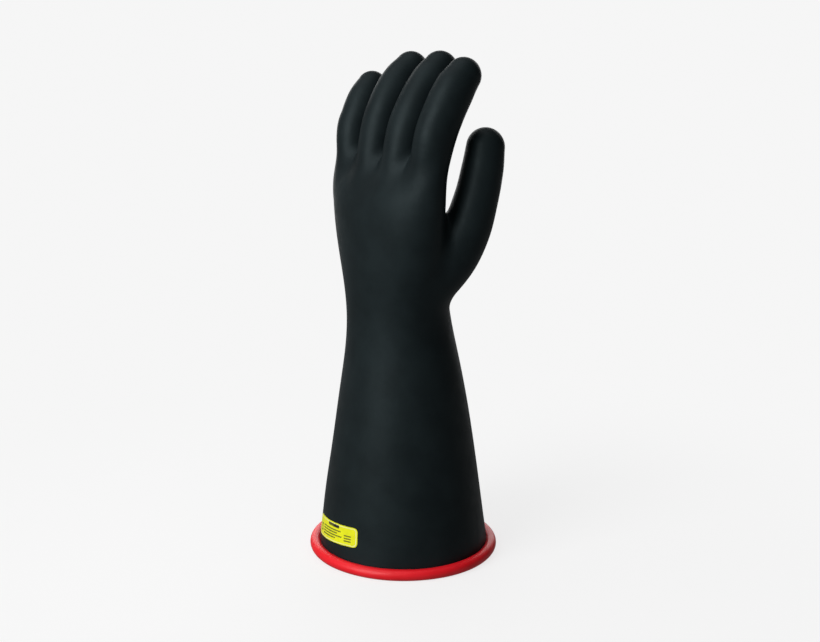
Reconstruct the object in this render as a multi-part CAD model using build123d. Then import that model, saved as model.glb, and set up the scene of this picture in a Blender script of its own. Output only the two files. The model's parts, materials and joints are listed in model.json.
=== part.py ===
"""Two-ply electrical insulating glove for the left hand, standing on its cuff.

Frame: origin at the centre of the cuff's resting plane, +X to the thumb side,
+Y to the palm, +Z towards the finger tips.  All dimensions are in millimetres.

The glove is a black rubber ply over a red one.  Each ply is made as the difference
of two solids with the same outline at two depths below the outer skin.  The skin is
divided at its flex lines.  Every division is a short cylinder coaxial with the flex
axis, so that neighbouring lengths turn past each other without touching.
"""
from build123d import *
import os
from math import cos, radians, sin

os.makedirs("parts", exist_ok=True)

# --- rubber ------------------------------------------------------------------
BLACK_PLY = 1.10          # outer ply thickness
RED_PLY = 1.00            # inner ply thickness
PLY_GAP = 0.05            # bond line between the plies
FLEX_GAP = 0.30           # clearance left at every flex line

# Depth of each ply's two faces below the outer skin.
BLACK_DEPTHS = (0.0, BLACK_PLY)
RED_DEPTHS = (BLACK_PLY + PLY_GAP, BLACK_PLY + PLY_GAP + RED_PLY)

# --- gauntlet and palm: height, centre x, centre y, half width, half depth ------
TRUNK = (
    (-10.0, 0.0, 0.0, 63.6, 62.6),
    (15.0, 0.0, 0.0, 59.4, 58.2),
    (60.0, 0.0, 0.0, 53.8, 52.0),
    (110.0, 0.0, 0.0, 46.6, 44.2),
    (146.0, -0.5, -1.0, 41.0, 38.0),
    (171.0, -1.0, -3.0, 37.8, 34.4),
    (200.0, -2.0, -6.0, 42.5, 31.0),
    (227.0, -2.5, -9.0, 48.5, 28.0),
    (253.0, -2.5, -11.0, 53.0, 23.5),
    (276.0, -3.0, -11.0, 54.6, 16.5),
    (286.0, -3.0, -10.5, 52.5, 11.5),
)
HALF_SPACE = 400.0        # size of the blocks that stand for a half space

# --- cuff --------------------------------------------------------------------
BEAD_RADIUS = 4.0         # section radius of the rolled bead
BEAD_OFFSET = 1.8         # bead centre outside the skin line
BEAD_HEIGHT = 3.85        # bead centre above the resting plane
BEAD_FIT = 0.05           # clearance between the bead and the plies above it
CUFF_HALF_WIDTH = 61.6    # skin line at the bead
CUFF_HALF_DEPTH = 60.5
PLY_FOOT = 4.2            # plies start here, behind the bead

# --- fingers -----------------------------------------------------------------
# root: centre of the first flex line; fan: lean to the thumb side; tilts: lean of the
# three lengths to the palm; lengths: from one flex line to the next, the last one to
# the centre of the tip dome; radii: heel, three flex lines, tip dome.
FINGERS = {
    "index": dict(root=(39.8, -6.9, 294.5), fan=4.5, tilts=(20, 29.5, 40),
                  lengths=(19.5, 17.5, 11.5), radii=(12.0, 13.8, 13.8, 13.5, 12.5)),
    "middle": dict(root=(12.3, -7.2, 294.5), fan=3.0, tilts=(21, 34, 46),
                   lengths=(20.5, 19.0, 13.2), radii=(12.0, 13.8, 13.8, 13.5, 12.6)),
    "ring": dict(root=(-17.2, -5.8, 294.0), fan=1.5, tilts=(21, 34, 46),
                 lengths=(20.0, 18.5, 13.0), radii=(12.0, 13.7, 13.7, 13.3, 12.3)),
    "little": dict(root=(-45.8, -5.0, 290.2), fan=-1.5, tilts=(20, 27, 37),
                   lengths=(14.5, 12.7, 9.9), radii=(11.0, 12.7, 12.7, 12.3, 11.4)),
}
FINGER_OVAL = (0.95, 1.03)  # half width and half depth of a finger over its radius
HEEL_DEPTH = 37.0         # finger cores start this far inside the palm
HEEL_PULL = 3.0           # and this far towards the middle of the palm
PALM_MIDDLE_X = -3.0

# --- thumb: centre line, radius ------------------------------------------------
THUMB = (
    ((6.0, -7.0, 180.0), 14.0),
    ((17.0, 3.0, 194.0), 20.0),
    ((30.0, 14.0, 212.0), 19.2),
    ((39.0, 22.5, 233.0), 16.6),
    ((42.8, 28.5, 255.0), 15.0),
    ((44.0, 32.5, 274.0), 14.2),
    ((44.0, 35.0, 288.5), 13.0),
)
THUMB_OVAL = (1.0, 1.0)
THUMB_HINGES = (4, 5)     # places of the two thumb flex axes in THUMB

# --- flex lines ----------------------------------------------------------------
SEAM_RATIO = 1.13         # division cylinder radius over the finger's radius
WRIST_HINGE = (-1.0, -3.0, 171.0)
WRIST_SEAM = 42.0         # division cylinder radius at the wrist

# --- class label ---------------------------------------------------------------
LABEL_WIDTH = 50.0
LABEL_HEIGHT = 13.7
LABEL_CORNER = 3.0
LABEL_MIDDLE = 22.0       # height of the label's middle
LABEL_TURN = -8.7         # degrees from the back of the hand to the little finger
LABEL_ROLL = 5.4          # degrees the label is cured on out of level
LABEL_FACES = (-0.04, -0.45)
PRINT_FACES = (-0.47, -0.55)
LABEL_REACH = 90.0        # how far the label's outline is carried from the axis

# Printed marks: left edge, width, height above the label's middle, bar height.
PRINT_BARS = (
    (-6.0, 14.0, 4.9, 2.0),
    (-14.0, 24.0, 2.0, 0.9),
    (-14.0, 20.0, 0.2, 0.9),
    (-14.0, 25.0, -1.6, 0.9),
    (-14.0, 18.0, -3.4, 0.9),
    (13.5, 6.5, 0.2, 0.9),
    (13.5, 6.5, -1.6, 0.9),
    (13.5, 6.5, -3.4, 0.9),
)
BADGE_MIDDLE = (-18.6, -0.8)
BADGE_SIZE = 5.2
BADGE_HOLE = 3.6


def lean(fan, tilt):
    """Direction of a finger length leaning by two angles in degrees."""
    fan, tilt = radians(fan), radians(tilt)
    return Vector(sin(fan) * cos(tilt), sin(tilt), cos(fan) * cos(tilt))


def section_plane(points, place):
    """Plane across the centre line at one of its points."""
    before = points[max(place - 1, 0)]
    after = points[min(place + 1, len(points) - 1)]
    return Plane(origin=points[place], x_dir=(1, 0, 0), z_dir=after - before)


def core(points, radii, oval, depth):
    """Oval core through the points at a depth under the skin, open to its dome."""
    sections = []
    for place, radius in enumerate(radii):
        section = Ellipse(oval[0] * radius - depth, oval[1] * radius - depth)
        sections.append(section_plane(points, place) * section)
    return loft(sections)


def dome(points, radii, oval, depth):
    """Half ball that closes the core."""
    radius = radii[-1] - depth
    stretch = (oval[0] * radii[-1] - depth) / radius, (oval[1] * radii[-1] - depth) / radius
    ball = scale(Sphere(radius) & half_space(Plane.XY), (*stretch, 1))
    return section_plane(points, len(points) - 1) * ball


def half_space(plane):
    """Block on the plane's far side."""
    block = Box(HALF_SPACE, HALF_SPACE, HALF_SPACE,
                align=(Align.CENTER, Align.CENTER, Align.MIN))
    return plane * block


def finger_points(finger):
    """Heel, three knuckles and the centre of the tip dome."""
    root = Vector(*finger["root"])
    inwards = HEEL_PULL if root.X < PALM_MIDDLE_X else -HEEL_PULL
    heel = root - lean(0, finger["tilts"][0] / 2) * HEEL_DEPTH + Vector(inwards, 0, 0)
    points = [heel, root]
    for tilt, length in zip(finger["tilts"], finger["lengths"]):
        points.append(points[-1] + lean(finger["fan"], tilt) * length)
    return points


def trunk(depth):
    """Gauntlet and palm at a depth under the skin, closed at the finger roots."""
    sections = []
    for height, x, y, half_width, half_depth in TRUNK:
        level = height - depth if height == TRUNK[-1][0] else height
        sections.append(Pos(x, y, level) * Ellipse(half_width - depth, half_depth - depth))
    return loft(sections)


def division(points, place, radius, across):
    """Plane of a flex line and the solids that end its two neighbours.

    The first solid takes the far length off the near one; the second, kept clear by
    the flex gap, is where the far length may be.
    """
    along = (points[place + 1] - points[place - 1]).normalized()
    axis = along.cross(across).normalized()
    hinge = Plane(origin=points[place], z_dir=axis)
    beyond = half_space(Plane(origin=points[place], x_dir=axis, z_dir=along))
    near_drum = hinge * Cylinder(radius - FLEX_GAP / 2, HALF_SPACE)
    far_drum = hinge * Cylinder(radius + FLEX_GAP / 2, HALF_SPACE)
    return beyond - near_drum, beyond - far_drum


def lengths_of(points, radii, oval, hinges, across, depths):
    """Ply lengths between the flex lines, from the first flex line to the tip."""
    wall = core(points, radii, oval, depths[0]) - core(points, radii, oval, depths[1])
    cap = dome(points, radii, oval, depths[0]) - dome(points, radii, oval, depths[1])
    ply = wall + cap
    cuts = [division(points, place, SEAM_RATIO * radii[place], across)
            for place in hinges]
    lengths = []
    for number, (_, beyond) in enumerate(cuts):
        length = ply & beyond
        if number + 1 < len(cuts):
            length = length - cuts[number + 1][0]
        lengths.append(length)
    return lengths


def stub(points, radii, oval, hinges, across, depth):
    """Core up to its first flex line."""
    first = hinges[0]
    off, _ = division(points, first, SEAM_RATIO * radii[first], across)
    return core(points, radii, oval, depth) - off


def write(node, shape, colour):
    """Write one named piece."""
    solids = shape.solids()
    piece = solids[0] if len(solids) == 1 else Compound(children=solids)
    piece.label = node
    piece.color = colour
    export_step(piece, f"parts/{node}.step")


BLACK = Color(0.03, 0.035, 0.04)
RED = Color(0.75, 0.05, 0.08)
YELLOW = Color(0.85, 0.90, 0.10)
INK = Color(0.05, 0.05, 0.05)
PLIES = (("black_ply", BLACK_DEPTHS, BLACK), ("red_ply", RED_DEPTHS, RED))

# --- digits: points, radii, oval, flex places, direction across the flex axis -----
digits = {}
for name, finger in FINGERS.items():
    digits[name] = (finger_points(finger), finger["radii"], FINGER_OVAL, (1, 2, 3),
                    Vector(0, 1, 0))
thumb_points = [Vector(*point) for point, _ in THUMB]
thumb_radii = [radius for _, radius in THUMB]
digits["thumb"] = (thumb_points, thumb_radii, THUMB_OVAL, THUMB_HINGES, Vector(1, 0, 0))

LENGTH_NAMES = {3: ("proximal", "middle", "tip"), 2: ("base", "tip")}
for name, digit in digits.items():
    for ply_name, depths, colour in PLIES:
        lengths = lengths_of(*digit, depths)
        for length_name, length in zip(LENGTH_NAMES[len(lengths)], lengths):
            write(f"{name}_{length_name}_{ply_name}", length, colour)

# --- rolled bead, flattened where it rests -----------------------------------------
def bead(clearance):
    """Rolled bead, thicker by the clearance."""
    middle_x = CUFF_HALF_WIDTH + BEAD_OFFSET
    middle_y = CUFF_HALF_DEPTH + BEAD_OFFSET
    ring = Torus(middle_x, BEAD_RADIUS + clearance)
    return Pos(0, 0, BEAD_HEIGHT) * scale(ring, (1, middle_y / middle_x, 1))


above_floor = half_space(Plane.XY)
write("cuff_bead", bead(0) & above_floor, RED)

# --- hand and gauntlet: one trunk divided at the wrist ------------------------------
wrist_axis = Plane(origin=WRIST_HINGE, z_dir=(1, 0, 0))
above_wrist = half_space(Plane(origin=WRIST_HINGE))
hand_side = above_wrist + wrist_axis * Cylinder(WRIST_SEAM - FLEX_GAP / 2, HALF_SPACE)
not_gauntlet = above_wrist + wrist_axis * Cylinder(WRIST_SEAM + FLEX_GAP / 2, HALF_SPACE)
above_foot = half_space(Plane(origin=(0, 0, PLY_FOOT)))
bead_room = bead(BEAD_FIT)

for ply_name, depths, colour in PLIES:
    hands = []
    trunks = []
    for depth in depths:
        body = trunk(depth)
        trunks.append(body)
        for digit in digits.values():
            body = body + stub(*digit, depth)
        hands.append(body)
    write(f"hand_{ply_name}", (hands[0] - hands[1]) & hand_side, colour)
    gauntlet = (trunks[0] - trunks[1]) & above_foot
    write(f"gauntlet_{ply_name}", gauntlet - not_gauntlet - bead_room, colour)


# --- class label and its printed marks -----------------------------------------------
def layer(faces):
    """Skin-following layer between two depths, outside the skin."""
    return trunk(faces[1]) - trunk(faces[0])


def on_label(sketch):
    """Outline on the label carried straight out from the glove's axis."""
    upright = Pos(0, 0, LABEL_MIDDLE) * Rot(90, 0, 0) * Rot(0, 0, LABEL_ROLL)
    outline = upright * extrude(sketch, LABEL_REACH)
    return Rot(0, 0, LABEL_TURN) * outline


label_outline = RectangleRounded(LABEL_WIDTH, LABEL_HEIGHT, LABEL_CORNER)
write("class_label", layer(LABEL_FACES) & on_label(label_outline), YELLOW)

badge = Rectangle(BADGE_SIZE, BADGE_SIZE) - Rectangle(BADGE_HOLE, BADGE_HOLE)
marks = Pos(*BADGE_MIDDLE) * badge
for left, width, height, thickness in PRINT_BARS:
    marks = marks + Pos(left + width / 2, height) * Rectangle(width, thickness)
write("label_print", layer(PRINT_FACES) & on_label(marks), INK)
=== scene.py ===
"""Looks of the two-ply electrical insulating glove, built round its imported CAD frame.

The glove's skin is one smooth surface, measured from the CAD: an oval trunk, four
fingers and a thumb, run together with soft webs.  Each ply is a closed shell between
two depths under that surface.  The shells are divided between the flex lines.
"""

import json
import math

import bmesh
import bpy
import numpy as np
import openvdb
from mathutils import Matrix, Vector
from mathutils.bvhtree import BVHTree

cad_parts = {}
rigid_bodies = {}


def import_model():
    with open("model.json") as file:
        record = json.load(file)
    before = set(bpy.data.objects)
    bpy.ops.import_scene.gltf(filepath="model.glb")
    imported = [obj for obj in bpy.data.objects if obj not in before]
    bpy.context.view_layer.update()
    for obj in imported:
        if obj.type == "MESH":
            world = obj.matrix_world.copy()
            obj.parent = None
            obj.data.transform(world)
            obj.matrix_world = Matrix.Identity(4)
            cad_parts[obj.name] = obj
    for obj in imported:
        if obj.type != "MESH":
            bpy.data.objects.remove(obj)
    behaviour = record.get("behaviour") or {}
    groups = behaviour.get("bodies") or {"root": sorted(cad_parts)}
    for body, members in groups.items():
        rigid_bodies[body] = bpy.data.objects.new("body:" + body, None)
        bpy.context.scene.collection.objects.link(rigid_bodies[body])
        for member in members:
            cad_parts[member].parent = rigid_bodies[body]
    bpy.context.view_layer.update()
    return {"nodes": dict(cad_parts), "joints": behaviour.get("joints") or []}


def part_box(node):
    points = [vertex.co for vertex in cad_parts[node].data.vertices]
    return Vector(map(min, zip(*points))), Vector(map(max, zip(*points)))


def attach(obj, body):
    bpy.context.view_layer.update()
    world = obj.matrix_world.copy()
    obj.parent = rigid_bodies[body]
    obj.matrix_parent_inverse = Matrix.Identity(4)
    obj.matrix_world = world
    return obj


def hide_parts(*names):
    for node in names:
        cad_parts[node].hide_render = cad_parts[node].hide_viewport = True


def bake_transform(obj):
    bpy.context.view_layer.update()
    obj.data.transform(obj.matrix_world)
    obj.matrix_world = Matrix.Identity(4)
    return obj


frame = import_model()
JOINTS = {joint["name"]: joint for joint in frame["joints"]}

MM = 0.001

# --- rubber ------------------------------------------------------------------------
BLACK_DEPTHS = (0.0, 1.10 * MM)
RED_DEPTHS = (1.15 * MM, 2.15 * MM)

# --- skin ----------------------------------------------------------------------------
TRUNK_STEP = 3 * MM            # spacing of the measured trunk sections
TRUNK_BLUR = 6 * MM            # smoothing of the measured sections along the trunk
PALM_MEASURED_TO = 0.268       # above this height the finger roots hide the palm
PALM_TOP_WIDTH = 0.97          # palm's last section, as shares of the measured one
PALM_TOP_DEPTH = 0.62
PALM_TOP_ROUND = 12 * MM
FINGER_BLEND = 6 * MM          # how softly digits run into the palm
THUMB_BLEND = 7 * MM
WEB_FALL = 0.06                # slope of the web line, down towards the little finger
WEB_RISE = 0.9                 # slope of the webs, up from the back of the hand
WEB_BEND = 5 * MM
WAVES = ((41 * MM, 1.0), (29 * MM, 0.6), (67 * MM, 1.2))   # wave length and share
WAVE_HEIGHT = 0.12 * MM
HEEL_LENGTH = 36 * MM          # finger cores start this far below their first flex line
HEEL_DEPTH = 5.5 * MM          # and this far under the skin of the back of the hand
HEEL_WIDTH = 0.87
HEEL_SPREAD = 0.86             # their distances from the palm's middle, as a share
# Thumb inside the hand: share of the way from the wrist to its hinge, how far it stands
# aside of that line to the thumb side and to the palm side, and its radius as a share.
THUMB_ROOT = ((0.107, 2.3 * MM, -7.4 * MM, 0.93), (0.274, 6.0 * MM, -2.6 * MM, 1.33),
              (0.488, 9.6 * MM, 1.6 * MM, 1.28), (0.738, 7.7 * MM, 2.2 * MM, 1.107))

# --- mesh ------------------------------------------------------------------------------
STEP = 1.3 * MM                # grid and ring spacing on the hand and digits
ROUND_COUNT = 64               # points round a digit
DOME_RINGS = 14
GAUNTLET_STEP = 1.6 * MM
GAUNTLET_ROUND = 256           # points round the gauntlet
RELAX_ROUNDS = 8
RELAX_SHARE = 0.5
HAND_CUT = 0.155               # height at which the gauntlet meets the hand
CUT_BACK = 5 * MM              # a digit starts this far before its first flex line
BEND_SHARE = 0.85              # share of its piece that the bend span computed in lay_digit covers

# --- bead and label -------------------------------------------------------------------
BEAD_SINK = 0.9625             # height of the bead's middle, as a share of its radius
BEAD_ROUND = 28
BEAD_LENGTHS = 360
PLY_IN_BEAD = 0.8              # the plies start at this share of the bead's height
LABEL_DEPTHS = (-0.02 * MM, -0.45 * MM)
LABEL_CORNER = 0.22            # share of the label's height
LABEL_STEP = 1.2 * MM
LABEL_EDGE_STEPS = (0, 0.08 * MM, 0.18 * MM, 0.3 * MM, 0.55 * MM, 0.65 * MM, 1.05 * MM,
                    1.15 * MM)
LABEL_EDGE_ROUND = 0.3 * MM
PRINT_RISE = 0.05 * MM
BOLD_ABOVE = 0.78              # marks above this share of the print's height are bold

FINGERS = ("index", "middle", "ring", "little")
DIGIT_JOINTS = {name: (f"{name}_knuckle", f"{name}_middle_joint", f"{name}_tip_joint")
                for name in FINGERS}
DIGIT_JOINTS["thumb"] = ("thumb_spread", "thumb_tip_joint")


# --- measuring the frame ------------------------------------------------------------------
def skin_tree():
    """Search tree over every outer ply of the CAD model."""
    points, faces = [], []
    for name, node in frame["nodes"].items():
        if name.endswith("_black_ply"):
            first = len(points)
            points += [vertex.co.copy() for vertex in node.data.vertices]
            faces += [[first + i for i in face.vertices] for face in node.data.polygons]
    return BVHTree.FromPolygons(points, faces)


SKIN = skin_tree()
FAR = 0.3


def hit(start, towards):
    """First point of the CAD skin on a ray, or None."""
    return SKIN.ray_cast(Vector(start), Vector(towards))[0]


def half_width(middle, towards):
    """Distance from a point inside the glove out to the skin's outer face."""
    towards = Vector(towards).normalized()
    inner = hit(middle, towards)
    outer = hit(inner + towards * 0.2 * MM, towards)
    return (outer - Vector(middle)).length


def trunk_section(height, x, y):
    """Centre and half sizes of the trunk's oval, starting from a nearby centre."""
    for _ in range(3):
        left = hit((x - FAR, y, height), (1, 0, 0)).x
        right = hit((x + FAR, y, height), (-1, 0, 0)).x
        x, half_x = (left + right) / 2, (right - left) / 2
        aside = x - half_x / 2
        back = hit((aside, y - FAR, height), (0, 1, 0)).y
        front = hit((aside, y + FAR, height), (0, -1, 0)).y
        y, half_y = (back + front) / 2, (front - back) / 2 / math.sqrt(0.75)
    return x, y, half_x, half_y


def blurred(rows, width):
    """Rows of numbers smoothed over a number of rows, ends held straight."""
    reach = int(3 * width)
    weights = np.exp(-0.5 * (np.arange(-reach, reach + 1) / width) ** 2)
    weights /= weights.sum()
    steps = np.arange(1, reach + 1)[:, None]
    head = rows[0] + (rows[0] - rows[1]) * steps[::-1]
    tail = rows[-1] + (rows[-1] - rows[-2]) * steps
    padded = np.vstack([head, rows, tail])
    return np.stack([np.convolve(column, weights, "valid") for column in padded.T], 1)


def measured_trunk():
    """Heights and smoothed oval sections of the gauntlet and palm."""
    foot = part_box("cuff_bead")[1].z + MM
    heights = np.arange(foot, PALM_MEASURED_TO, TRUNK_STEP)
    sections = []
    x = y = 0.0
    for height in heights:
        x, y, half_x, half_y = trunk_section(height, x, y)
        sections.append((x, y, half_x, half_y))
    sections = np.array(sections)
    slope = (sections[0] - sections[3]) / (heights[0] - heights[3])
    heights = np.insert(heights, 0, 0.0)
    sections = np.vstack([sections[0] - slope * heights[1], sections])
    last = sections[-1] * (1, 1, PALM_TOP_WIDTH, PALM_TOP_DEPTH)
    heights = np.append(heights, PALM_TOP)
    even = np.arange(0, PALM_TOP + TRUNK_STEP, TRUNK_STEP)
    sections = np.vstack([sections, last])
    rows = np.stack([np.interp(even, heights, column) for column in sections.T], 1)
    return even, blurred(rows, TRUNK_BLUR / TRUNK_STEP)


def joint_place(name):
    return np.array(JOINTS[name]["pos_m"])


def joint_axis(name):
    axis = np.array(JOINTS[name]["axis"])
    return axis / np.linalg.norm(axis)


def ball_at_tip(node, towards):
    """Centre and radius of a node's dome, from the planes that touch it."""
    points = np.array([vertex.co for vertex in frame["nodes"][node].data.vertices])
    side = np.cross(towards, (0.3, 0.1, 0.9))
    side /= np.linalg.norm(side)
    other = np.cross(towards, side)
    turns = np.linspace(0, 2 * math.pi, 12, endpoint=False)
    rays = [towards]
    for spread in (0.25, 0.5):
        for turn in turns:
            ray = towards + spread * (math.cos(turn) * side + math.sin(turn) * other)
            rays.append(ray / np.linalg.norm(ray))
    rays = np.array(rays)
    touch = (rays @ points.T).max(1)
    table = np.hstack([rays, np.ones((len(rays), 1))])
    answer = np.linalg.lstsq(table, touch, rcond=None)[0]
    return answer[:3], answer[3]


def smooth_line(points, count):
    """Points on a smooth curve through the given rows, count to each gap."""
    points = np.array(points)
    padded = np.vstack([2 * points[0] - points[1], points, 2 * points[-1] - points[-2]])
    line = []
    for first in range(len(points) - 1):
        a, b, c, d = padded[first:first + 4]
        for t in np.arange(count) / count:
            line.append(0.5 * (2 * b + (c - a) * t + (2 * a - 5 * b + 4 * c - d) * t ** 2
                               + (3 * b - a - 3 * c + d) * t ** 3))
    line.append(points[-1])
    return np.array(line)


class Digit:
    """A finger or thumb: smooth centre line with an oval section at every point."""

    def __init__(self, name):
        self.name = name
        self.joints = DIGIT_JOINTS[name]
        hinges = [joint_place(joint) for joint in self.joints]
        tip_node = f"{name}_tip_black_ply"
        guess = hinges[-1] - hinges[-2]
        tip, tip_radius = ball_at_tip(tip_node, guess / np.linalg.norm(guess))
        tip, tip_radius = ball_at_tip(tip_node, unit(tip - hinges[-1]))
        axis = joint_axis(self.joints[-1])
        knots = [*hinges, tip]
        widths, depths = [], []
        for number, place in enumerate(hinges):
            before = hinges[number - 1] if number else None
            along = unit(knots[number + 1] - (place if before is None else before))
            across = unit(np.cross(axis, along))
            widths.append(mean_width(place, axis))
            depths.append(mean_width(place, across))
        widths.append(tip_radius * widths[-1] / max(widths[-1], depths[-1]))
        depths.append(tip_radius)
        roots, root_radii = self.root(hinges[0], (widths[0] + depths[0]) / 2)
        knots = roots + knots
        widths = root_radii + widths
        depths = root_radii + depths
        self.root_count = len(roots)
        detail = 8
        line = smooth_line(np.column_stack([knots, widths, depths]), detail)
        self.line, self.width, self.depth = line[:, :3], line[:, 3], line[:, 4]
        gaps = np.linalg.norm(np.diff(self.line, axis=0), axis=1)
        self.at = np.concatenate([[0], np.cumsum(gaps)])
        self.hinge_at = [self.at[(self.root_count + number) * detail]
                         for number in range(len(hinges))]
        self.along = np.gradient(self.line, self.at, axis=0)
        self.along /= np.linalg.norm(self.along, axis=1)[:, None]
        side = axis - (self.along @ axis)[:, None] * self.along
        self.side = side / np.linalg.norm(side, axis=1)[:, None]

    def root(self, first, radius):
        """Centres and radii inside the palm, before the first flex line."""
        if self.name == "thumb":
            wrist = joint_place("wrist_flex")
            return ([wrist + (first - wrist) * share + (aside, forward, 0)
                     for share, aside, forward, _ in THUMB_ROOT],
                    [radius * swell for *_, swell in THUMB_ROOT])
        radius = radius * HEEL_WIDTH
        x = first[0] * HEEL_SPREAD
        z = first[2] - HEEL_LENGTH
        middle_x, middle_y, half_x, half_y = (np.interp(z, TRUNK_HEIGHTS, column)
                                              for column in TRUNK_SECTIONS.T)
        back = middle_y - half_y * math.sqrt(1 - ((x - middle_x) / half_x) ** 2)
        return [np.array((x, back + HEEL_DEPTH + radius, z))], [radius]

    def sample(self, at):
        """Centre, direction, side and half sizes at places along the line."""
        def read(rows):
            rows = np.atleast_2d(rows.T).T
            return np.stack([np.interp(at, self.at, column) for column in rows.T], -1)
        along = read(self.along)
        along /= np.linalg.norm(along, axis=-1, keepdims=True)
        side = read(self.side)
        side -= (side * along).sum(-1, keepdims=True) * along
        side /= np.linalg.norm(side, axis=-1, keepdims=True)
        return read(self.line), along, side, read(self.width)[..., 0], read(self.depth)[..., 0]

    def field(self, points):
        """Distance outside the digit, below zero inside it."""
        squares = (self.line ** 2).sum(1) - 2 * points @ self.line.T
        nearest = squares.argmin(1)
        best = np.full(len(points), np.inf)
        at = np.zeros(len(points))
        for shift in (-1, 0):
            k = np.clip(nearest + shift, 0, len(self.line) - 2)
            start, step = self.line[k], self.line[k + 1] - self.line[k]
            share = ((points - start) * step).sum(1) / (step ** 2).sum(1)
            share = np.clip(share, 0, 1)
            gap = ((points - start - share[:, None] * step) ** 2).sum(1)
            closer = gap < best
            best[closer] = gap[closer]
            at[closer] = (self.at[k] + share * (self.at[k + 1] - self.at[k]))[closer]
        middle, along, side, width, depth = self.sample(at)
        away = points - middle
        u = (away * side).sum(1)
        v = (away * np.cross(along, side)).sum(1)
        w = (away * along).sum(1)
        mean = (width + depth) / 2
        size = np.sqrt((u / width) ** 2 + (v / depth) ** 2 + (w / mean) ** 2) + 1e-9
        slope = np.sqrt((u / width ** 2) ** 2 + (v / depth ** 2) ** 2
                        + (w / mean ** 2) ** 2) / size + 1e-9
        return (size - 1) / slope.clip(0.3 / mean)


def unit(vector):
    return vector / np.linalg.norm(vector)


def mean_width(place, direction):
    return (half_width(place, direction) + half_width(place, -direction)) / 2


def web_place():
    """Where the palm's edge lies between the index and middle fingers."""
    between = (joint_place("index_knuckle") + joint_place("middle_knuckle")) / 2
    return hit(between + (0, -4 * MM, 10 * MM), (0, 0, -1))


WEB_X, WEB_Y, PALM_TOP = web_place()
TRUNK_HEIGHTS, TRUNK_SECTIONS = measured_trunk()
DIGITS = {name: Digit(name) for name in DIGIT_JOINTS}


# --- the skin as a field ---------------------------------------------------------------------
def soft_min(a, b, reach):
    share = np.clip(0.5 + 0.5 * (b - a) / reach, 0, 1)
    return b + (a - b) * share - reach * share * (1 - share)


def trunk_field(points):
    """Distance outside the gauntlet and palm."""
    x, y, half_x, half_y = (np.interp(points[:, 2], TRUNK_HEIGHTS, column)
                            for column in TRUNK_SECTIONS.T)
    u, v = (points[:, 0] - x) / half_x, (points[:, 1] - y) / half_y
    size = np.sqrt(u ** 2 + v ** 2) + 1e-9
    slope = np.sqrt((u / half_x) ** 2 + (v / half_y) ** 2) / size
    wall = (size - 1) / np.maximum(slope, 1e-9)
    behind = soft_min(points[:, 1] - WEB_Y, np.zeros(len(points)), WEB_BEND)
    slope = WEB_FALL * (points[:, 0] - WEB_X) + WEB_RISE * behind
    top = (points[:, 2] - PALM_TOP - slope) / math.hypot(1, WEB_FALL, WEB_RISE)
    return -soft_min(-wall, -top, PALM_TOP_ROUND)


def unevenness(points):
    """Shallow waves that every dipped skin has."""
    height = 0
    for number, (wave, share) in enumerate(WAVES):
        turn = np.array((math.cos(2.1 * number), math.sin(2.1 * number), 0.6 - 0.4 * number))
        height = height + share * np.sin(2 * math.pi * (points @ unit(turn)) / wave + number)
    return WAVE_HEIGHT * height


def joined(trunk, digit_values, names):
    """Trunk and digits run together; fingers stay apart from each other."""
    whole = trunk
    fingers = [value for name, value in zip(names, digit_values) if name != "thumb"]
    if fingers:
        whole = soft_min(whole, np.min(fingers, axis=0), FINGER_BLEND)
    if "thumb" in names:
        whole = soft_min(whole, digit_values[names.index("thumb")], THUMB_BLEND)
    return whole


def skin_field(names):
    """Field of the trunk with the named digits."""
    names = list(names)

    def field(points):
        trunk = trunk_field(points)
        values = []
        for name in names:
            digit = DIGITS[name]
            value = np.full(len(points), 0.05)
            margin = 0.04
            near = ((points > digit.line.min(0) - margin)
                    & (points < digit.line.max(0) + margin)).all(1)
            if near.any():
                value[near] = digit.field(points[near])
            values.append(value)
        return joined(trunk, values, names) + unevenness(points)
    return field


def slopes(field, points):
    """Outward unit normals of the field."""
    small = 0.2 * MM
    rows = []
    for k in range(3):
        shift = np.zeros(3)
        shift[k] = small
        rows.append(field(points + shift) - field(points - shift))
    normals = np.stack(rows, 1)
    return normals / np.linalg.norm(normals, axis=1)[:, None]


def settle(field, points, rounds, planes=None):
    """Points moved on to the skin, within their own planes if normals are given."""
    for _ in range(rounds):
        normals = slopes(field, points)
        if planes is not None:
            normals = normals - (normals * planes).sum(1)[:, None] * planes
            normals /= (normals ** 2).sum(1)[:, None]
        points = points - field(points)[:, None] * normals
    return points


# --- sheets and shells --------------------------------------------------------------------
class Sheet:
    """Part of the skin: points, outward normals and faces, open at its cuts."""

    def __init__(self, points, faces, field):
        self.points = points
        self.faces = faces
        self.normals = slopes(field, points)


def tube_faces(rows, count, capped):
    """Quads between closed rings; a cap closes the last ring on one more point."""
    faces = []
    for row in range(rows - 1):
        for k in range(count):
            here, after = row * count + k, row * count + (k + 1) % count
            faces.append((here, after, after + count, here + count))
    if capped:
        last = (rows - 1) * count
        for k in range(count):
            faces.append((last + k, last + (k + 1) % count, rows * count))
    return faces


def gauntlet_sheet():
    """Rings from the bead up to the hand."""
    foot = PLY_IN_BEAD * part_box("cuff_bead")[1].z
    rows = round((HAND_CUT - foot) / GAUNTLET_STEP)
    heights = np.repeat(np.linspace(foot, HAND_CUT, rows), GAUNTLET_ROUND)
    turns = np.tile(np.arange(GAUNTLET_ROUND) * 2 * math.pi / GAUNTLET_ROUND, rows)
    x, y, half_x, half_y = (np.interp(heights, TRUNK_HEIGHTS, column)
                            for column in TRUNK_SECTIONS.T)
    points = np.stack([x + half_x * np.cos(turns), y + half_y * np.sin(turns), heights], 1)
    field = skin_field([])
    level = np.tile((0.0, 0.0, 1.0), (len(points), 1))
    points = settle(field, points, 2, level)
    return Sheet(points, tube_faces(rows, GAUNTLET_ROUND, False), field)


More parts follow.
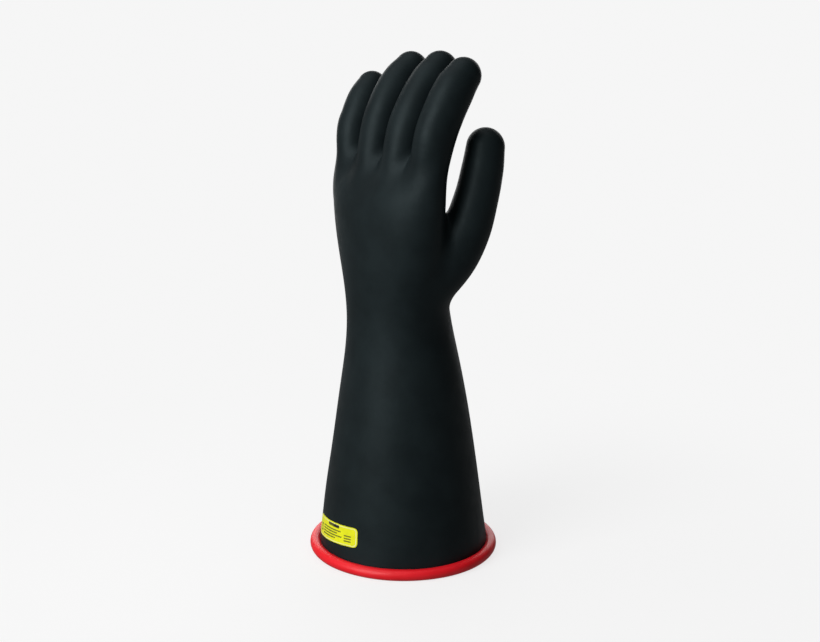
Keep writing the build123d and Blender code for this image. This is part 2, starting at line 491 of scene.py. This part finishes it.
def digit_sheet(digit, first, last, domed):
    """Rings across a digit between two places on its line, with the fingertip's dome."""
    rows = max(3, round((last - first) / STEP)) + 1
    at = np.repeat(np.linspace(first, last, rows), ROUND_COUNT)
    turns = np.tile(np.arange(ROUND_COUNT) * 2 * math.pi / ROUND_COUNT, rows)
    middle, along, side, width, depth = digit.sample(at)
    over = np.cross(along, side)
    points = (middle + (width * np.cos(turns))[:, None] * side
              + (depth * np.sin(turns))[:, None] * over)
    field = skin_field([digit.name])
    points = settle(field, points, 4, along)
    if domed:
        tip, tip_along, tip_side, tip_width, tip_depth = digit.sample(np.array([last]))
        tip_over = np.cross(tip_along, tip_side)
        length = (tip_width + tip_depth)[0] / 2
        rings = [points]
        turn = turns[:ROUND_COUNT, None]
        for number in range(1, DOME_RINGS):
            rise = math.pi / 2 * number / DOME_RINGS
            ring = (tip + math.cos(rise) * (tip_width * np.cos(turn) * tip_side
                                            + tip_depth * np.sin(turn) * tip_over)
                    + length * math.sin(rise) * tip_along)
            rings.append(settle(field, ring, 3))
        rings.append(settle(field, tip + length * tip_along, 3))
        points = np.vstack(rings)
        rows += DOME_RINGS - 1
    return Sheet(points, tube_faces(rows, ROUND_COUNT, domed), field)


def grown(field, low, high):
    """The field's surface in a box, as points and quads that face outward."""
    shape = np.ceil((high - low) / STEP).astype(int)
    ticks = [low[k] + STEP * np.arange(shape[k]) for k in range(3)]
    values = np.empty(shape, np.float32)
    for k, x in enumerate(ticks[0]):
        y, z = np.meshgrid(ticks[1], ticks[2], indexing="ij")
        layer = np.stack([np.full(y.shape, x), y, z], -1).reshape(-1, 3)
        values[k] = field(layer).reshape(y.shape) / STEP
    grid = openvdb.FloatGrid(background=10.0)
    grid.copyFromArray(values)
    points, quads = grid.convertToQuads(isovalue=0.0)
    points = low + STEP * np.asarray(points, float)
    quads = np.asarray(quads, int)
    corners = points[quads]
    facing = np.cross(corners[:, 2] - corners[:, 0], corners[:, 3] - corners[:, 1])
    outward = slopes(field, corners.mean(1))
    if (facing * outward).sum() < 0:
        quads = quads[:, ::-1]
    return points, quads


def hand_sheet():
    """Palm, back of the hand and webs, cut at the gauntlet and at every digit."""
    field = skin_field(DIGITS)
    cuts = []
    for digit in DIGITS.values():
        middle, along = digit.sample(np.array([digit.hinge_at[0] - CUT_BACK]))[:2]
        cuts.append((middle[0], along[0]))
    reach = 24 * MM
    tops = np.array([middle for middle, _ in cuts])
    low = np.append(np.minimum(tops.min(0)[:2], TRUNK_SECTIONS[:, :2].min(0)
                               - TRUNK_SECTIONS[-40:, 2:].max(0)) - reach / 4,
                    HAND_CUT - 4 * STEP)
    high = np.append(np.maximum(tops.max(0)[:2], TRUNK_SECTIONS[-40:, 2:].max(0)) + reach,
                     tops[:, 2].max() + reach / 2)
    points, quads = grown(field, low, high)
    mesh = bmesh.new()
    for point in points:
        mesh.verts.new(point)
    mesh.verts.ensure_lookup_table()
    for quad in quads:
        mesh.faces.new([mesh.verts[k] for k in quad])
    cut_mesh(mesh, mesh.faces[:], Vector((0, 0, HAND_CUT)), Vector((0, 0, -1)))
    for (middle, along), digit in zip(cuts, DIGITS.values()):
        centres = np.array([face.calc_center_median() for face in mesh.faces])
        nearest = np.argmin([other.field(centres) for other in DIGITS.values()], axis=0)
        mine = nearest == list(DIGITS.values()).index(digit)
        beyond = (centres - middle) @ along > -3 * STEP
        faces = [face for face, chosen in zip(mesh.faces, mine & beyond) if chosen]
        cut_mesh(mesh, faces, Vector(middle), Vector(along))
    planes = [(np.array((0, 0, HAND_CUT)), np.array((0.0, 0.0, 1.0))), *cuts]
    points, faces = relaxed(mesh, field, planes)
    return Sheet(points, faces, field)


def cut_mesh(mesh, faces, place, normal):
    """Cuts the given faces at a plane and drops what lies beyond it."""
    parts = set(faces)
    for face in faces:
        parts.update(face.edges)
        parts.update(face.verts)
    bmesh.ops.bisect_plane(mesh, geom=list(parts), dist=1e-7, plane_co=place,
                           plane_no=normal, clear_outer=True)


def relaxed(mesh, field, planes):
    """Evenly spread points on the skin; points of a cut stay in its plane."""
    loose = [vertex for vertex in mesh.verts if not vertex.link_faces]
    bmesh.ops.delete(mesh, geom=loose, context="VERTS")
    shortest = STEP / 4
    rim = [edge for edge in mesh.edges if edge.is_boundary]
    tiny = [edge for edge in rim if edge.calc_length() < shortest]
    bmesh.ops.collapse(mesh, edges=tiny)
    mesh.verts.index_update()
    mesh.verts.ensure_lookup_table()
    points = np.array([vertex.co for vertex in mesh.verts])
    on_rim = np.array([vertex.is_boundary for vertex in mesh.verts])
    starts, ends = [], []
    for edge in mesh.edges:
        a, b = (vertex.index for vertex in edge.verts)
        if edge.is_boundary or not on_rim[a]:
            starts.append(a)
            ends.append(b)
        if edge.is_boundary or not on_rim[b]:
            starts.append(b)
            ends.append(a)
    starts, ends = np.array(starts), np.array(ends)
    count = np.bincount(starts, minlength=len(points)).clip(1)[:, None]
    away = np.array([np.abs((points - place) @ normal) for place, normal in planes])
    plane_of = away.argmin(0)
    normals = np.array([normal for _, normal in planes])[plane_of]
    places = np.array([place for place, _ in planes])[plane_of]
    for _ in range(RELAX_ROUNDS):
        sums = np.zeros_like(points)
        np.add.at(sums, starts, points[ends])
        points = points + RELAX_SHARE * (sums / count - points)
        off = ((points - places) * normals).sum(1)[:, None] * normals
        points[on_rim] -= off[on_rim]
        points[on_rim] = settle(field, points[on_rim], 2, normals[on_rim])
        points[~on_rim] = settle(field, points[~on_rim], 1)
    points[~on_rim] = settle(field, points[~on_rim], 2)
    return points, [tuple(vertex.index for vertex in face.verts) for face in mesh.faces]


def rim_of(faces):
    """Directed edges that belong to one face only."""
    once = {}
    for face in faces:
        for a, b in zip(face, (*face[1:], face[0])):
            if (b, a) in once:
                del once[(b, a)]
            else:
                once[(a, b)] = True
    return list(once)


def closed(name, outer, inner, faces, outward, material):
    """Solid between two layers of the same faces, with a sharp rim round its edges."""
    count = len(outer)
    rim = [(b, a, a + count, b + count) for a, b in rim_of(faces)]
    sides = [*faces, *(tuple(count + k for k in reversed(face)) for face in faces)]
    points = np.vstack([outer, inner])
    normals = np.vstack([outward, -outward])
    mesh = bpy.data.meshes.new(name)
    mesh.from_pydata(points.tolist(), [], sides + rim)
    mesh.polygons.foreach_set("use_smooth", [True] * len(mesh.polygons))
    corner_normals = normals[[k for face in sides for k in face]].tolist()
    for corners in points[np.array(rim)]:
        flat = np.cross(corners[2] - corners[0], corners[3] - corners[1])
        corner_normals += [unit(flat).tolist()] * 4
    mesh.normals_split_custom_set(corner_normals)
    return placed(name, mesh, material)


def placed(name, mesh, material):
    """An object in the scene that shows a mesh."""
    keep_rest(mesh)
    mesh.materials.append(material)
    made = bpy.data.objects.new(name, mesh)
    bpy.context.collection.objects.link(made)
    return made


def shell(name, sheet, depths, material):
    """One ply: the sheet between two depths, closed round its cuts."""
    outer, inner = (sheet.points - depth * sheet.normals for depth in depths)
    return closed(name, outer, inner, sheet.faces, sheet.normals, material)


def keep_rest(mesh):
    """Keeps where every point is at rest, for textures that don't slide."""
    places = np.empty(3 * len(mesh.vertices))
    mesh.vertices.foreach_get("co", places)
    attribute = mesh.attributes.new("rest", "FLOAT_VECTOR", "POINT")
    attribute.data.foreach_set("vector", places)


# --- materials ---------------------------------------------------------------------------
class Paint:
    """A material built node by node."""

    def __init__(self, name):
        self.name = name
        self.material = bpy.data.materials.new(name)
        self.material.use_nodes = True
        self.nodes = self.material.node_tree.nodes
        self.links = self.material.node_tree.links
        self.shader = self.nodes["Principled BSDF"]
        self.rest = self.node("ShaderNodeAttribute", attribute_name="rest").outputs["Vector"]

    def node(self, kind, values=None, **settings):
        made = self.nodes.new(kind)
        for key, value in settings.items():
            setattr(made, key, value)
        for key, value in (values or {}).items():
            if isinstance(value, bpy.types.NodeSocket):
                self.links.new(value, made.inputs[key])
            else:
                made.inputs[key].default_value = value
        return made

    def noise(self, size, detail=3.0, rough=0.5):
        """Noise whose features are about the given size, from 0 to 1."""
        values = {"Vector": self.rest, "Scale": 1 / size, "Detail": detail,
                  "Roughness": rough}
        return self.node("ShaderNodeTexNoise", values).outputs["Fac"]

    def spread(self, value, low, high, to_low=0.0, to_high=1.0):
        values = {"Value": value, "From Min": low, "From Max": high,
                  "To Min": to_low, "To Max": to_high}
        return self.node("ShaderNodeMapRange", values).outputs["Result"]

    def mix(self, share, first, second):
        made = self.node("ShaderNodeMix", data_type="RGBA")
        for key, value in (("Factor", share), (6, first), (7, second)):
            if isinstance(value, bpy.types.NodeSocket):
                self.links.new(value, made.inputs[key])
            else:
                made.inputs[key].default_value = value
        return made.outputs[2]

    def bump(self, height, distance, under=None):
        values = {"Height": height, "Distance": distance}
        if under is not None:
            values["Normal"] = under
        return self.node("ShaderNodeBump", values).outputs["Normal"]

    def set(self, **values):
        for key, value in values.items():
            key = key.replace("_", " ")
            if isinstance(value, bpy.types.NodeSocket):
                self.links.new(value, self.shader.inputs[key])
            else:
                self.shader.inputs[key].default_value = value


def colour(red, green, blue):
    """A colour from 0 to 255 screen values."""
    def linear(value):
        share = value / 255
        return share / 12.92 if share < 0.04045 else ((share + 0.055) / 1.055) ** 2.4
    return (linear(red), linear(green), linear(blue), 1.0)


def rubber(name, dark, light, roughness, spots):
    """Dipped rubber: cloudy colour, uneven gloss, a fine grain and soft ripples."""
    paint = Paint(name)
    cloud = paint.spread(paint.noise(22 * MM, 4), 0.35, 0.65)
    speck = paint.spread(paint.noise(0.9 * MM, 2), 0.55, 0.8)
    tone = paint.mix(cloud, dark, light)
    tone = paint.mix(paint.spread(speck, 0, 1, 0, spots), tone, light)
    smear = paint.spread(paint.noise(9 * MM, 5, 0.6), 0.3, 0.7, roughness - 0.05,
                         roughness + 0.05)
    grain = paint.bump(paint.noise(0.35 * MM, 2), 0.012 * MM)
    ripple = paint.bump(paint.noise(7 * MM, 2), 0.09 * MM, grain)
    paint.set(Base_Color=tone, Roughness=smear, Normal=ripple, Coat_Roughness=0.5)
    return paint


BLACK = rubber("black_rubber", colour(19, 26, 28), colour(25, 33, 35), 0.5, 0.3)
BLACK.set(Specular_IOR_Level=0.16, Specular_Tint=(0.78, 0.96, 1.0, 1.0))
RED = rubber("red_rubber", colour(238, 16, 28), colour(250, 28, 42), 0.42, 0.15)
RED.set(Specular_IOR_Level=0.4)


def label_paint():
    """Yellow film with a slim paler line inside its edge and faint handling marks."""
    paint = Paint("yellow_label")
    edge = paint.node("ShaderNodeAttribute", attribute_name="edge").outputs["Fac"]
    outer = paint.spread(edge, 0.55 * MM, 0.65 * MM)
    inner = paint.spread(edge, 1.15 * MM, 1.05 * MM)
    line = paint.node("ShaderNodeMath", {0: outer, 1: inner}, operation="MULTIPLY")
    cloud = paint.spread(paint.noise(5 * MM, 4), 0.3, 0.7)
    tone = paint.mix(cloud, colour(236, 238, 8), colour(248, 250, 22))
    tone = paint.mix(line.outputs[0], tone, colour(248, 247, 176))
    gloss = paint.spread(paint.noise(2 * MM, 3), 0.3, 0.7, 0.34, 0.46)
    grain = paint.bump(paint.noise(0.5 * MM, 2), 0.01 * MM)
    paint.set(Base_Color=tone, Roughness=gloss, Normal=grain)
    return paint


YELLOW = label_paint()
INK = Paint("label_ink")
BOLD = INK.node("ShaderNodeAttribute", attribute_name="bold").outputs["Fac"]
INK.set(Base_Color=INK.mix(BOLD, colour(122, 122, 30), colour(26, 28, 18)),
        Roughness=INK.spread(INK.noise(0.8 * MM), 0.3, 0.7, 0.45, 0.6))


# --- the glove's pieces ----------------------------------------------------------------------
PLIES = (("black_ply", BLACK_DEPTHS, BLACK), ("red_ply", RED_DEPTHS, RED))


def lay_plies(sheet, part):
    """Both plies of a sheet, in place of the part's CAD plies, which are hidden."""
    for ply, depths, paint in PLIES:
        made = shell(f"{part}_{ply}_skin", sheet, depths, paint.material)
        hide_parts(f"{part}_{ply}")
        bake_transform(made)


def lay_trunk():
    """Plies of the gauntlet and of the hand, which meet at the hand's cut."""
    for part, sheet in (("gauntlet", gauntlet_sheet()), ("hand", hand_sheet())):
        lay_plies(sheet, part)


def lay_digit(digit):
    """A digit's pieces, cut between its flex lines so that each holds one of them."""
    hinges = digit.hinge_at
    middles = [(a + b) / 2 for a, b in zip(hinges, hinges[1:])]
    cuts = [hinges[0] - CUT_BACK, *middles, digit.at[-1]]
    for number, joint in enumerate(digit.joints):
        bodies = JOINTS[joint]["parent"], JOINTS[joint]["child"]
        first, last = cuts[number], cuts[number + 1]
        domed = joint == digit.joints[-1]
        sheet = digit_sheet(digit, first, last, domed)
        hinge = hinges[number]
        after = cuts[number + 1] if not domed else 2 * hinge - first
        bend = hinge + BEND_SHARE * (np.array([first, after]) - hinge)
        start, end = digit.sample(bend)[0]
        lay_plies(sheet, bodies[1])


def lay_bead():
    """Rolled rim of the red ply: a round ring, a little uneven, pressed flat below."""
    low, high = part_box("cuff_bead")
    radius = high.z / (1 + BEAD_SINK)
    half_x, half_y = high.x - radius, high.y - radius
    turns = np.arange(BEAD_LENGTHS) * 2 * math.pi / BEAD_LENGTHS
    rises = np.arange(BEAD_ROUND) * 2 * math.pi / BEAD_ROUND
    turn, rise = np.meshgrid(turns, rises, indexing="ij")
    swell = 1 + 0.012 * np.sin(3 * turn + 0.4) + 0.008 * np.sin(7 * turn + 2 + np.sin(turn))
    outward = np.stack([np.cos(turn) / half_x, np.sin(turn) / half_y], -1)
    outward /= np.linalg.norm(outward, axis=-1, keepdims=True)
    out = radius * swell * np.cos(rise)
    height = radius * (BEAD_SINK + swell * np.sin(rise))
    x = half_x * np.cos(turn) + out * outward[..., 0]
    y = half_y * np.sin(turn) + out * outward[..., 1]
    z = soft_min(-height, np.zeros_like(height) + 0.0, 0.4 * MM) * -1
    points = np.stack([x, y, z], -1).reshape(-1, 3)
    faces = []
    for i in range(BEAD_LENGTHS):
        for j in range(BEAD_ROUND):
            here = i * BEAD_ROUND + j
            up = i * BEAD_ROUND + (j + 1) % BEAD_ROUND
            step = BEAD_ROUND if i + 1 < BEAD_LENGTHS else -i * BEAD_ROUND
            faces.append((here, here + step, up + step, up))
    made = plain_object("cuff_bead_roll", points, faces, RED.material)
    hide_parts("cuff_bead")
    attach(made, "gauntlet")


def plain_object(name, points, faces, material, smooth=True):
    """An object from points and faces."""
    mesh = bpy.data.meshes.new(name)
    mesh.from_pydata(np.asarray(points).tolist(), [], faces)
    mesh.polygons.foreach_set("use_smooth", [smooth] * len(mesh.polygons))
    return placed(name, mesh, material)


def laid(points, facing, depth):
    """Points moved straight on to the gauntlet, at given depths under its skin."""
    field = skin_field([])
    for _ in range(8):
        slope = (slopes(field, points) @ facing)
        points = points - ((field(points) + depth) / slope)[:, None] * facing
    return points


def rounded_grid(width, height, corner):
    """Grid over a rounded rectangle, closer near its edge, and each point's inset."""
    def ticks(length):
        half = length / 2
        inner = np.arange(LABEL_EDGE_STEPS[-1] + LABEL_STEP, half, LABEL_STEP)
        one = half - np.array([*LABEL_EDGE_STEPS, *inner])
        return np.concatenate([-one, [0], one[::-1]])
    y = ticks(height)
    over = np.clip(np.abs(y) - (height / 2 - corner), 0, corner)
    half_width = width / 2 - corner + np.sqrt(corner ** 2 - over ** 2)
    share = ticks(width) / (width / 2)
    x = share[None, :] * half_width[:, None]
    y = np.repeat(y[:, None], len(share), 1)
    past_x, past_y = np.abs(x) - (width / 2 - corner), np.abs(y) - (height / 2 - corner)
    inset = corner - np.hypot(past_x.clip(0), past_y.clip(0))
    inset = inset - np.minimum(np.maximum(past_x, past_y), 0)
    rows, columns = x.shape
    faces = []
    for row in range(rows - 1):
        for column in range(columns - 1):
            here = row * columns + column
            faces.append((here, here + 1, here + 1 + columns, here + columns))
    return x.ravel(), y.ravel(), inset.ravel(), faces


def lay_label():
    """The label's film, wrapped on to the gauntlet; returns the way it faces, for the print.
    """
    corners = np.array([vertex.co for vertex in frame["nodes"]["class_label"].data.vertices])
    angles = np.arctan2(corners[:, 1], corners[:, 0])
    turn = (angles.min() + angles.max()) / 2
    facing = np.array((math.cos(turn), math.sin(turn), 0.0))
    level = np.array((-facing[1], facing[0], 0.0))
    upright = np.array((0, 0, 1.0))

    def box_of(roll):
        """Middle and size of the label's outline, measured at a roll."""
        across = math.cos(roll) * level + math.sin(roll) * upright
        up = math.cos(roll) * upright - math.sin(roll) * level
        low_high = [((corners @ axis).min(), (corners @ axis).max()) for axis in (across, up)]
        return across, up, low_high

    def area(roll):
        (left, right), (bottom, top) = box_of(roll)[2]
        return (right - left) * (top - bottom)

    across, up, extents = box_of(min(np.radians(np.arange(-12, 12, 0.1)), key=area))
    (left, right), (bottom, top) = extents
    width, height = right - left, top - bottom
    middle = (facing * ((corners @ facing).max() + MM) + across * (left + right) / 2
              + up * (bottom + top) / 2)
    x, y, inset, faces = rounded_grid(width, height, LABEL_CORNER * height)
    flat = middle + x[:, None] * across + y[:, None] * up
    under, over = LABEL_DEPTHS
    rounding = (1 - inset / LABEL_EDGE_ROUND).clip(0, 1)
    depth = under + (over - under) * (1 - 0.5 * rounding ** 2)
    outer, inner = laid(flat, facing, depth), laid(flat, facing, under)
    outward = slopes(skin_field([]), outer)
    made = closed("class_label_film", outer, inner, faces, outward, YELLOW.material)
    attribute = made.data.attributes.new("edge", "FLOAT", "POINT")
    attribute.data.foreach_set("value", np.tile(inset, 2))
    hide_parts("class_label")
    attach(made, "gauntlet")
    return facing


def lay_print(facing):
    """The CAD's printed marks, laid on the film."""
    source = frame["nodes"]["label_print"].data
    points = np.array([vertex.co for vertex in source.vertices])
    rise = np.array([SKIN.find_nearest(Vector(point))[3] for point in points])
    share = (rise - rise.min()) / (rise.max() - rise.min())
    depth = LABEL_DEPTHS[1] - 0.01 * MM - share * PRINT_RISE
    points = laid(points, facing, depth)
    faces = [tuple(face.vertices) for face in source.polygons]
    made = plain_object("label_print_marks", points, faces, INK.material, smooth=False)
    low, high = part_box("label_print")
    bold = points[:, 2] > low.z + BOLD_ABOVE * (high.z - low.z)
    attribute = made.data.attributes.new("bold", "FLOAT", "POINT")
    attribute.data.foreach_set("value", bold.astype(float))
    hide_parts("label_print")
    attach(made, "gauntlet")


lay_trunk()
for digit in DIGITS.values():
    lay_digit(digit)
lay_bead()
lay_print(lay_label())


# --- studio --------------------------------------------------------------------------------
CAMERA_TURN = math.radians(50)
CAMERA_DROP = math.radians(14.5)
CAMERA_TARGET = Vector((0.003, 0.004, 0.166))
CAMERA_DISTANCE = 1.040
CAMERA_LENS = 65.85
PALE = 0.92                    # backdrop
SHADOW = 0.2                   # share of the floor's tone that shadows can take away
FLOOR_GLOW = 0.765
FLOOR_BOUNCE = 0.22            # the floor as the glove sees it
ROOM_DIM = 0.03
ROOM_BRIGHT = 0.36


def add_floor():
    """A pale floor that takes a faint shadow and fades into the backdrop."""
    bpy.ops.mesh.primitive_plane_add(size=12)
    floor = bpy.context.object
    floor.name = "floor"
    material = bpy.data.materials.new("floor")
    material.use_nodes = True
    nodes, links = material.node_tree.nodes, material.node_tree.links
    shader = nodes["Principled BSDF"]
    shader.inputs["Base Color"].default_value = (SHADOW, SHADOW, SHADOW, 1)
    shader.inputs["Roughness"].default_value = 0.9
    shader.inputs["Specular IOR Level"].default_value = 0
    shader.inputs["Emission Color"].default_value = (1, 1, 1, 1)
    shader.inputs["Emission Strength"].default_value = FLOOR_GLOW
    backdrop = glow(nodes, PALE)
    bounce = glow(nodes, FLOOR_BOUNCE)
    place = nodes.new("ShaderNodeNewGeometry")
    length = nodes.new("ShaderNodeVectorMath")
    length.operation = "LENGTH"
    links.new(place.outputs["Position"], length.inputs[0])
    fade = nodes.new("ShaderNodeMapRange")
    fade.interpolation_type = "SMOOTHSTEP"
    fade.inputs["From Min"].default_value = 0.12
    fade.inputs["From Max"].default_value = 0.45
    links.new(length.outputs["Value"], fade.inputs["Value"])
    seen = mixed(nodes, links, fade.outputs["Result"], shader, backdrop)
    path = nodes.new("ShaderNodeLightPath")
    whole = mixed(nodes, links, path.outputs["Is Camera Ray"], bounce, seen)
    links.new(whole.outputs[0], nodes["Material Output"].inputs["Surface"])
    floor.data.materials.append(material)


def glow(nodes, strength):
    made = nodes.new("ShaderNodeEmission")
    made.inputs["Strength"].default_value = strength
    return made


def mixed(nodes, links, share, first, second):
    made = nodes.new("ShaderNodeMixShader")
    links.new(share, made.inputs["Fac"])
    links.new(first.outputs[0], made.inputs[1])
    links.new(second.outputs[0], made.inputs[2])
    return made


def add_world(brighter):
    """White backdrop for the camera; for the glove, a room brighter on one side."""
    world = bpy.data.worlds.new("studio")
    bpy.context.scene.world = world
    world.use_nodes = True
    nodes, links = world.node_tree.nodes, world.node_tree.links
    seen = nodes["Background"]
    seen.inputs["Color"].default_value = (PALE, PALE, PALE, 1)
    room = nodes.new("ShaderNodeBackground")
    place = nodes.new("ShaderNodeTexCoord")
    side = nodes.new("ShaderNodeVectorMath")
    side.operation = "DOT_PRODUCT"
    side.inputs[1].default_value = brighter
    links.new(place.outputs["Generated"], side.inputs[0])
    level = nodes.new("ShaderNodeMapRange")
    level.inputs["From Min"].default_value = -1
    level.inputs["To Min"].default_value = ROOM_DIM
    level.inputs["To Max"].default_value = ROOM_BRIGHT
    links.new(side.outputs["Value"], level.inputs["Value"])
    links.new(level.outputs["Result"], room.inputs["Strength"])
    path = nodes.new("ShaderNodeLightPath")
    whole = mixed(nodes, links, path.outputs["Is Camera Ray"], room, seen)
    links.new(whole.outputs[0], nodes["World Output"].inputs["Surface"])


def add_light(name, place, size, power):
    """A soft box that looks at the glove."""
    data = bpy.data.lights.new(name, "AREA")
    data.shape = "RECTANGLE"
    data.size, data.size_y = size
    data.energy = power
    light = bpy.data.objects.new(name, data)
    light.location = place
    light.rotation_euler = (CAMERA_TARGET - light.location).to_track_quat("-Z", "Y").to_euler()
    bpy.context.collection.objects.link(light)


def add_camera():
    flat = math.cos(CAMERA_DROP)
    towards = Vector((math.sin(CAMERA_TURN) * flat, -math.cos(CAMERA_TURN) * flat,
                      math.sin(CAMERA_DROP)))
    data = bpy.data.cameras.new("camera")
    data.lens = CAMERA_LENS
    camera = bpy.data.objects.new("camera", data)
    camera.location = CAMERA_TARGET + CAMERA_DISTANCE * towards
    camera.rotation_euler = (-towards).to_track_quat("-Z", "Y").to_euler()
    bpy.context.collection.objects.link(camera)
    bpy.context.scene.camera = camera
    return towards


bpy.context.scene.view_settings.view_transform = "Standard"
seen_from = add_camera()
left = Vector((0, 0, 1)).cross(seen_from).normalized() * -1
add_floor()
add_world(left)
add_light("key", CAMERA_TARGET + left * 0.95 + Vector((0, 0, 0.35)) + seen_from * 0.95,
          (0.9, 1.2), 17)
add_light("top", CAMERA_TARGET + Vector((0, 0, 1.1)) + left * 0.3, (1.2, 1.2), 4)
add_light("rear", CAMERA_TARGET - seen_from * 1.1 + Vector((0, 0, 0.5)), (1.4, 0.8), 7)
